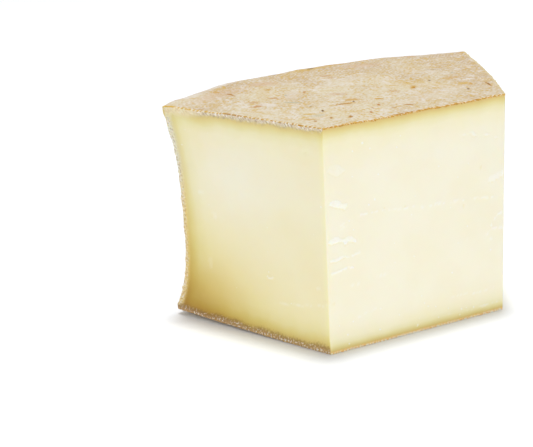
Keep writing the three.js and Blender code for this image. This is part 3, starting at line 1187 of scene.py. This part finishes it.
def pasteMaterial():
    material, tree, surface, place = newMaterial("cutPaste")
    face = attribute(tree, "facePlace")
    along = partsOf(face)
    readings = {"Depth": "rindDepth", "Width": "rindWidth", "Reach": "stainReach", "Start": "stainStart"}
    readings = {label: partsOf(attribute(tree, name)) for label, name in readings.items()}
    depths = readings["Depth"]
    dragged, torn, ripeAndShaded = [attribute(tree, name, "Fac") for name in ("dragged", "torn", "ripeAndShaded")]
    # the paste's colour, amber where it is riper and where shade is painted
    colour = ramp(ripeAndShaded, [(share, paint(*shade)) for share, shade in pasteLook["ripeAndShadeColours"]])
    cloudy = times(patches(place, pasteLook, "clouds"), pasteLook["cloudsShare"])
    colour = mixColour(cloudy, colour, pasteLook["cloud"], "MULTIPLY")
    # a yellower rim along the near upright edge
    least, more = pasteLook["edgeShare"]
    nearEdge = stepDown(along[2], *pasteLook["edgeReach"])
    colour = layOver(colour, pasteLook["edge"], nearEdge, timesPlus(dragged, more, least))
    bands = []
    for strip in rindStrips:
        axis = strip["axis"]
        far = times(stepDown(along[1 if axis == 1 else 0], *strip["farRange"]), dragged)
        outer, inner = [
            mixColour(far, mixColour(dragged, clean, near), beyond)
            for clean, near, beyond in zip(strip["clean"], strip["dragged"], strip["far"])
        ]
        inputs = {label: reading[axis] for label, reading in readings.items()}
        for label, (clean, pulled) in strip["look"].items():
            inputs[label] = timesPlus(dragged, pulled - clean, clean)
        for label, less in strip["farLess"].items():
            inputs[label] = times(inputs[label], timesPlus(far, -less, 1.0))
        turn, across, length = strip["strand"]
        strands = vectorCalc("MULTIPLY", turned(face, turn), (1 / across, 1 / length, 0))
        bands.append(useGroup("underRind", Place=place, Strands=strands, Outer=outer, Inner=inner, **inputs))
        colour = mixColour(1.0, colour, bands[-1]["Tint"], "MULTIPLY")
    # torn flakes are whiter; painted shade in the crease under them, in grooves and in pits
    colour = mixColour(times(torn, pasteLook["tornShare"], clamp=True), colour, pasteLook["torn"])
    colour = mixColour(times(torn, -1.0, clamp=True), colour, pasteLook["paintedCreaseShade"])
    # small white grains, the larger ones one by one
    least, more = pasteLook["grainSize"]
    every = {"Vector": place, "Scale": 1 / pasteLook["grainEvery"], "Randomness": 1.0}
    cells = addNode("TexVoronoi", every).outputs
    draw = addNode("SeparateColor", {0: cells["Color"]}).outputs
    near = calc("SUBTRACT", timesPlus(draw[1], more, least), cells["Distance"])
    grains = times(stepUp(near, *pasteLook["grainEdge"]), stepUp(draw[0], *pasteLook["grainDraw"]))
    onTip = stepDown(calc("ABSOLUTE", calc("SUBTRACT", along[0], along[2])), 0.1, 0.2)
    fray = timesPlus(noiseAt(place, *pasteLook["fray"]), pasteLook["frayed"], -pasteLook["frayed"] / 2)
    for across, up, size in tipGrains:
        centre = (across, up, across)
        spot = useGroup("singleMark", Place=face, Centre=centre, Size=(size, size, 9), Turn=0.0, Grain=fray)
        grains = calc("MAXIMUM", grains, times(spot["Mask"], onTip))
    colour = layOver(colour, pasteLook["torn"], grains, pasteLook["grainShare"])
    for band in bands:
        colour = layOver(colour, band["Rind"], band["Cover"])
    covers = [band["Cover"] for band in bands]
    lifts = [times(band["Cover"], band["Height"]) for band in bands]
    cover = calc("MAXIMUM", calc("MAXIMUM", covers[0], covers[1]), covers[2])
    height = calc("ADD", calc("ADD", lifts[0], lifts[1]), lifts[2])
    # crumbs along the foot where the knife went through it cleanly
    hem = useGroup("edgeDots", Along=along[0], Across=depths[2], Pitch=edgeDots["hemPitch"])
    hem = mixColour(hem["Mask"], edgeDots["hemBit"], edgeDots["hemCrumb"])
    onHem = stepDown(depths[2], *edgeDots["hemHigh"])
    colour = layOver(colour, hem, onHem, timesPlus(dragged, -edgeDots["hemShare"], edgeDots["hemShare"]))
    # the rind's outer skin, golden in dots where the threads of the cloth crossed it
    dots = useGroup("edgeDots", Along=along[0], Across=depths[0], Pitch=edgeDots["pitch"])
    outside = stepDown(depths[0], *edgeDots["inCut"])
    joined = stepDown(along[0], *edgeDots["joinedTo"])
    skin = mixColour(dots["Shade"], edgeDots["light"], edgeDots["deep"])
    colour = layOver(colour, skin, calc("MAXIMUM", dots["Mask"], joined), outside, dragged)
    rimSkin = times(stepDown(depths[1], *edgeDots["rimReach"]), stepUp(along[1], *edgeDots["rimHeight"]))
    colour = layOver(colour, edgeDots["rim"], rimSkin, times(dragged, edgeDots["rimShare"]))
    drag = stretched(place, pasteLook["dragStretch"], pasteLook["dragTurn"])
    drag = noiseAt(drag, *pasteLook["drag"])
    fine = timesPlus(drag, pasteLook["dragRelief"], noiseAt(place, *pasteLook["fine"]))
    least, more = pasteLook["fineRelief"]
    fine = times(fine, timesPlus(cover, more, least))
    fine = timesPlus(grains, pasteLook["grainRelief"], fine)
    height = timesPlus(height, pasteLook["rindRelief"], fine)
    least, more = pasteLook["rough"]
    feed(surface, {
        "Base Color": colour,
        "Roughness": timesPlus(cover, more, least),
        "Normal": bumpFrom(height, pasteLook["bump"]),
        **pasteLook["shader"],
    })
    return material


rindLook = {
    "pale": (213, 200, 166),
    "tan": (191, 166, 130),
    "ochre": (202, 166, 78),
    "bloom": (222, 214, 203),
    "golden": (197, 150, 58),
    "brown": (176, 124, 50),
    "rust": (188, 136, 80),
    "dark": (112, 76, 28),
    "grey": (184, 180, 158),
    "pink": (208, 178, 148),
    "cloth": {"Pitch": 1.9, "Wander": 1.2, "Wear": 0.5},
    "flecks": {"Size": 2.2, "From": 0.66, "To": 0.72},
    "flecksShare": 0.7,
    "flecksStretch": (0.6, 1.3, 1),
    "rimBits": {"Size": 9.0, "From": 0.46, "To": 0.58},
    "rimBitsReach": (0.8, 2.4),  # mm in from the rim, here and below
    "rimBitsShare": 0.7,
    # a painted highlight along the rim: how far in it reaches in mm, its share, the x where it leaves off,
    # and from how far beside that it shows
    "rimHighlight": (1.5, 6.0),
    "rimHighlightShare": 0.4,
    "rimHighlightMiddle": -10.0,  # it isn't pale at this x, but from so far beside it
    "rimHighlightFrom": (20.0, 100.0),
    # how tan the heel is, and the top: least, more to the right, more at the rim
    "heelTan": 0.8,
    "topTan": 0.12,
    "rightTan": 0.008,
    "rimTan": 0.42,
    "rimTanReach": 70.0,
    "fray": (1.1, 3.0, 0.6),
    "frayStretch": (1, 0.7, 1),
    "frayed": 2.0,
    "pores": (1.1, 4.0, 0.7),
    # where the heel's edge is golden: to the left, and high up
    "heelEdge": (40.0, 75.0),
    "heelEdgeUp": (112.0, 124.0),
    "heelEdgeShare": (0.15, 0.5),  # least, and how much more
    "bump": 0.00035,  # in metres
    "specular": 0.2,
}

# single marks of the top rind, in mm from the wheel's axis: from x and y, to x and y,
# half width, colour and strength
rindMarks = [
    (-83.9, 231.4, -58.9, 235.1, 9.0, "pink", 0.4), (22.5, 247.6, 39.6, 240.4, 6.0, "pink", 0.45),
    (2.0, 153.0, 56.0, 168.0, 9.0, "bloom", 0.3), (-78.0, 246.5, -50.0, 253.0, 3.2, "bloom", 0.6),
    (21.1, 205.1, 43.8, 168.0, 8.0, "ochre", 0.2), (-40.0, 235.7, -56.0, 205.0, 5.0, "ochre", 0.22),
    (-14.0, 252.0, -22.0, 236.0, 4.5, "ochre", 0.16), (-31.0, 215.0, -41.0, 201.0, 4.5, "bloom", 0.45),
    (-12.2, 213.3, 15.2, 222.6, 7.0, "bloom", 0.25), (-2.6, 139.0, 0.9, 137.0, 4.0, "bloom", 0.35),
    (-66.0, 189.0, -61.0, 184.0, 4.0, "bloom", 0.35), (52.0, 144.0, 53.3, 139.0, 4.0, "bloom", 0.35),
    (-43.4, 239.5, -34.3, 238.4, 6.0, "pink", 0.6), (-30.6, 173.2, -17.2, 167.6, 1.2, "golden", 0.8),
    (-27.5, 172.4, -20.6, 168.9, 1.5, "brown", 0.8), (-24.1, 172.8, -16.9, 168.5, 1.0, "golden", 0.7),
    (-17.0, 177.6, -13.0, 175.5, 3.0, "golden", 0.7), (-20.4, 175.7, -17.5, 175.1, 1.4, "golden", 0.6),
    (-17.6, 171.1, -16.6, 172.9, 0.8, "dark", 0.8), (-3.8, 169.9, -0.9, 168.2, 1.8, "golden", 0.9),
    (-9.9, 156.7, -8.8, 158.9, 1.2, "rust", 0.98), (3.1, 150.2, 7.0, 148.4, 1.5, "brown", 0.85),
    (27.2, 179.0, 30.0, 183.2, 2.2, "golden", 0.9), (27.7, 178.6, 28.7, 180.6, 1.1, "brown", 0.69),
    (12.1, 180.5, 16.5, 177.9, 1.7, "rust", 0.5), (30.6, 189.9, 31.7, 192.1, 1.2, "ochre", 0.8),
    (37.1, 196.3, 38.2, 198.3, 1.2, "ochre", 0.8), (18.7, 191.5, 21.9, 190.1, 1.8, "ochre", 0.6),
    (43.0, 185.7, 44.0, 187.5, 0.9, "dark", 0.63), (57.7, 211.5, 63.8, 206.8, 1.2, "dark", 0.3),
    (56.3, 184.7, 59.1, 183.6, 4.0, "golden", 0.45), (64.8, 194.1, 65.7, 196.0, 1.1, "grey", 0.69),
    (50.0, 156.7, 51.0, 158.7, 1.0, "dark", 0.69), (66.0, 162.8, 64.5, 153.9, 0.8, "brown", 0.95),
    (66.0, 160.8, 65.2, 157.0, 0.6, "dark", 0.5), (57.6, 165.0, 58.7, 167.1, 1.2, "golden", 0.8),
    (54.2, 170.2, 57.7, 169.2, 3.0, "ochre", 0.7), (62.8, 176.2, 65.6, 175.2, 2.2, "bloom", 0.9),
    (69.9, 200.8, 73.3, 199.4, 1.1, "bloom", 0.8), (46.9, 211.8, 60.2, 201.5, 1.6, "bloom", 0.6),
    (21.3, 205.5, 21.9, 198.2, 1.0, "bloom", 0.7), (39.1, 177.4, 38.9, 171.5, 1.0, "bloom", 0.7),
    (24.2, 180.3, 20.0, 160.0, 1.1, "bloom", 0.5), (20.0, 160.0, 11.9, 141.3, 1.1, "bloom", 0.5),
    (-17.9, 193.9, -12.9, 191.1, 3.4, "rust", 0.35), (-1.1, 236.2, 3.0, 233.6, 2.2, "rust", 0.45),
    (0.3, 230.3, 3.6, 228.9, 2.0, "rust", 0.35), (-28.6, 207.6, -27.5, 209.5, 1.0, "rust", 1),
    (-41.4, 177.8, -40.3, 179.7, 1.0, "dark", 0.34), (-40.2, 166.0, -39.3, 168.0, 0.9, "dark", 1),
    (-50.3, 166.7, -46.8, 165.0, 1.9, "ochre", 0.8), (-47.9, 160.9, -44.7, 159.9, 3.0, "grey", 0.45),
    (-34.7, 145.6, -33.6, 147.8, 1.3, "brown", 0.98), (-44.0, 150.5, -43.0, 152.5, 1.1, "brown", 0.8),
    (-55.5, 157.4, -51.1, 155.2, 2.2, "golden", 0.7), (-54.1, 150.2, -53.0, 152.2, 1.0, "brown", 0.92),
    (-21.5, 146.0, -20.5, 148.1, 1.1, "rust", 0.92), (-16.6, 152.3, -15.6, 154.3, 0.9, "brown", 0.69),
    (-7.2, 147.6, -4.8, 147.3, 1.1, "brown", 0.6), (-14.0, 255.4, 16.0, 254.6, 4.0, "ochre", 0.6),
    (1.6, 256.3, 4.4, 256.1, 1.5, "dark", 0.8), (66.9, 247.7, 71.4, 245.4, 1.4, "rust", 0.6),
    (97.7, 235.0, 102.2, 232.7, 1.6, "golden", 0.8), (41.0, 255.0, 44.7, 254.0, 1.3, "golden", 0.6),
    (-66.7, 231.4, -65.0, 226.0, 1.4, "brown", 0.85), (-69.9, 240.9, -68.3, 237.5, 1.4, "golden", 0.7),
    (-51.2, 208.8, -47.4, 206.4, 1.7, "rust", 0.8), (-66.3, 197.5, -63.4, 196.9, 2.4, "rust", 0.8),
    (-63.5, 206.5, -60.8, 205.6, 2.2, "rust", 0.5), (-62.6, 199.6, -60.0, 198.7, 2.0, "rust", 0.5),
    (-43.4, 226.3, -40.9, 226.1, 1.7, "golden", 0.7), (-48.2, 195.0, -42.2, 188.5, 1.6, "grey", 0.8),
    (-41.0, 207.5, -40.1, 209.4, 0.9, "grey", 0.8), (-93.6, 215.7, -90.9, 214.7, 1.5, "rust", 0.4),
    (-60.3, 199.8, -56.5, 192.6, 3.4, "bloom", 0.8), (-71.8, 209.5, -68.3, 208.9, 2.0, "bloom", 0.9),
    (-25.7, 231.4, -20.9, 229.0, 1.7, "bloom", 0.7), (-73.0, 231.5, -75.9, 219.2, 1.3, "bloom", 0.6),
    (-61.3, 161.9, -54.1, 168.9, 1.2, "bloom", 0.8), (-87.9, 241.9, -78.3, 243.1, 3.4, "bloom", 0.6),
    (-23.4, 258.4, -21.0, 257.8, 1.5, "dark", 0.75), (-44.0, 257.3, -38.7, 256.9, 1.4, "brown", 0.8),
    (-56.0, 255.0, -53.2, 255.2, 1.3, "brown", 0.8), (-49.1, 255.7, -45.6, 256.0, 1.3, "brown", 0.7),
    (-70.5, 249.9, -68.1, 250.7, 1.3, "brown", 0.7), (11.5, 258.5, 28.5, 255.4, 1.1, "golden", 0.8),
]


def rindMaterial(name, onHeel):
    material, tree, surface, place = newMaterial(name)
    axes = partsOf(place)
    flat = flatPlace(axes[0], axes[2 if onHeel else 1])
    cloth = useGroup("clothImprint", Place=flat, **rindLook["cloth"])["Height"]
    tanned = rindLook["heelTan"]
    if not onHeel:
        rim = partsOf(attribute(tree, "rindDepth"))[1]
        tanned = timesPlus(calc("MAXIMUM", axes[0], 0.0), rindLook["rightTan"], rindLook["topTan"])
        tanned = timesPlus(stepDown(rim, 0.0, rindLook["rimTanReach"]), rindLook["rimTan"], tanned)
    shades = {shade.capitalize(): paint(*rindLook[shade]) for shade in ("pale", "tan", "ochre", "bloom")}
    dry = useGroup("rindMottle", Place=place, Cloth=cloth, Tanned=tanned, **shades)
    wide = stretched(flat, rindLook["flecksStretch"])
    flecks = useGroup("scatteredFlecks", Place=wide, **rindLook["flecks"])["Mask"]
    colour = layOver(dry["Colour"], rindLook["brown"], flecks, rindLook["flecksShare"])
    if not onHeel:
        # a painted highlight along the rim towards its ends, with a broken brown line left by the hoop
        rimHighlight = times(stepDown(rim, *rindLook["rimHighlight"]), rindLook["rimHighlightShare"])
        offMiddle = calc("ABSOLUTE", calc("ADD", axes[0], -rindLook["rimHighlightMiddle"]))
        colour = layOver(colour, rindLook["bloom"], rimHighlight, stepUp(offMiddle, *rindLook["rimHighlightFrom"]))
        bits = useGroup("scatteredFlecks", Place=place, **rindLook["rimBits"])["Mask"]
        bits = times(bits, stepDown(rim, *rindLook["rimBitsReach"]))
        colour = layOver(colour, rindLook["brown"], bits, rindLook["rimBitsShare"])
        fray = noiseAt(stretched(flat, rindLook["frayStretch"]), *rindLook["fray"])
        fray = timesPlus(fray, rindLook["frayed"], -rindLook["frayed"] / 2)
        for startX, startY, endX, endY, half, shade, strength in rindMarks:
            start = Vector((startX, startY))
            line = Vector((endX, endY)) - start
            mask = useGroup(
                "singleMark",
                Place=flat,
                Centre=(*(start + line / 2 + wheelAxis.xy), 0),
                Size=(line.length / 2 + half, half, 1),
                Turn=-math.atan2(line.y, line.x),
                Grain=fray,
            )["Mask"]
            colour = layOver(colour, rindLook[shade], mask, strength)
    # golden dots along the near knife cuts, joined at the rim
    toCut = attribute(tree, "toCut", "Fac")
    onEdge = stepDown(toCut, *edgeDots["onTop"])
    if onHeel:
        edged = edgeDots["rim"]
        least, more = rindLook["heelEdgeShare"]
        upper = timesPlus(stepUp(axes[2], *rindLook["heelEdgeUp"]), more, least)
        onEdge = times(onEdge, stepDown(axes[0], *rindLook["heelEdge"]), upper)
    else:
        along = partsOf(attribute(tree, "facePlace"))[0]
        dots = useGroup("edgeDots", Along=along, Across=toCut, Pitch=edgeDots["pitch"])
        golden = mixColour(dots["Shade"], edgeDots["light"], edgeDots["deep"])
        joined = stepDown(rim, *edgeDots["joinedTo"])
        edged = mixColour(calc("MAXIMUM", dots["Mask"], joined), edgeDots["between"], golden)
        onFarCut = stepUp(axes[0], tipWidth / 2 - 1, tipWidth / 2 + 1)
        edged = layOver(edged, edgeDots["farCut"], onFarCut, edgeDots["farCutShare"])
    pores = noiseAt(place, *rindLook["pores"])
    feed(surface, {
        "Base Color": layOver(colour, edged, onEdge),
        "Roughness": dry["Rough"],
        "Specular IOR Level": rindLook["specular"],
        "Normal": bumpFrom(calc("ADD", dry["Height"], pores), rindLook["bump"]),
    })
    return material


# Studio

studio = {
    "floorSize": 12.0,
    "floor": {"Base Color": (0.95, 0.968, 1.0, 1), "Roughness": 0.9, "Specular IOR Level": 0.1},
    "sky": {"Color": (1, 1, 1, 1), "Strength": 0.58},
    # name, place, size, power, in metres and watts
    "lamps": [
        ("keyLamp", (-0.55, -1.45, 0.28), 0.7, 4.5),
        ("topLamp", (0.145, 0.246, 4.2), 0.58, 94.4),
    ],
    "aim": (0.0, 0.0, 0.06),
}

camera = {
    "aim": (-0.08846, -0.05075, 0.07995),
    "distance": 0.8,
    "azimuth": -27.01,
    "elevation": 19.01,
    "roll": 2.88,
    "lens": 100.97,
    "sensor": 36.0,
}


def makeFloor():
    half = studio["floorSize"] / 2
    mesh = bpy.data.meshes.new("studioFloor")
    corners = [(-half, -half, 0), (half, -half, 0), (half, half, 0), (-half, half, 0)]
    mesh.from_pydata(corners, [], [(0, 1, 2, 3)])
    floor = bpy.data.objects.new("studioFloor", mesh)
    bpy.context.collection.objects.link(floor)
    material = bpy.data.materials.new("studioFloor")
    material.use_nodes = True
    feed(material.node_tree.nodes["Principled BSDF"].inputs, studio["floor"])
    mesh.materials.append(material)


def makeLights():
    world = bpy.data.worlds.new("studioSky")
    world.use_nodes = True
    feed(world.node_tree.nodes["Background"].inputs, studio["sky"])
    bpy.context.scene.world = world
    for name, place, size, power in studio["lamps"]:
        data = bpy.data.lights.new(name, "AREA")
        data.shape = "DISK"
        data.size = size
        data.energy = power
        lamp = bpy.data.objects.new(name, data)
        lamp.location = place
        lamp.rotation_euler = (Vector(studio["aim"]) - Vector(place)).to_track_quat("-Z", "Y").to_euler()
        bpy.context.collection.objects.link(lamp)


def makeCamera():
    turn, rise, roll = (math.radians(camera[name]) for name in ("azimuth", "elevation", "roll"))
    back = Vector((math.sin(turn) * math.cos(rise), -math.cos(turn) * math.cos(rise), math.sin(rise)))
    right = Vector((math.cos(turn), math.sin(turn), 0))
    up = back.cross(right)
    rolledRight = right * math.cos(roll) - up * math.sin(roll)
    rolledUp = right * math.sin(roll) + up * math.cos(roll)
    data = bpy.data.cameras.new("photoCamera")
    data.sensor_width = camera["sensor"]
    data.lens = camera["lens"]
    eye = bpy.data.objects.new("photoCamera", data)
    pose = Matrix((rolledRight, rolledUp, back)).transposed().to_4x4()
    pose.translation = Vector(camera["aim"]) + back * camera["distance"]
    eye.matrix_world = pose
    bpy.context.collection.objects.link(eye)
    bpy.context.scene.camera = eye


makeCamera()
makeFloor()
makeLights()
bpy.context.scene.view_settings.view_transform = "Standard"
print("studio, lights and camera are set")

cheese = makeCheese()
triangles = sum(len(face.vertices) - 2 for face in cheese.data.polygons)
print("cheese piece:", len(cheese.data.vertices), "points,", triangles, "triangles")

for makeGroup in (clothGroup, fleckGroup, spotGroup, underRindGroup, dotGroup, mottleGroup):
    makeGroup()
for material in (rindMaterial("topRind", False), rindMaterial("heelRind", True), pasteMaterial()):
    cheese.data.materials.append(material)
print("rind and paste are painted")

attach(cheese, "root")
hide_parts("cheese_piece")
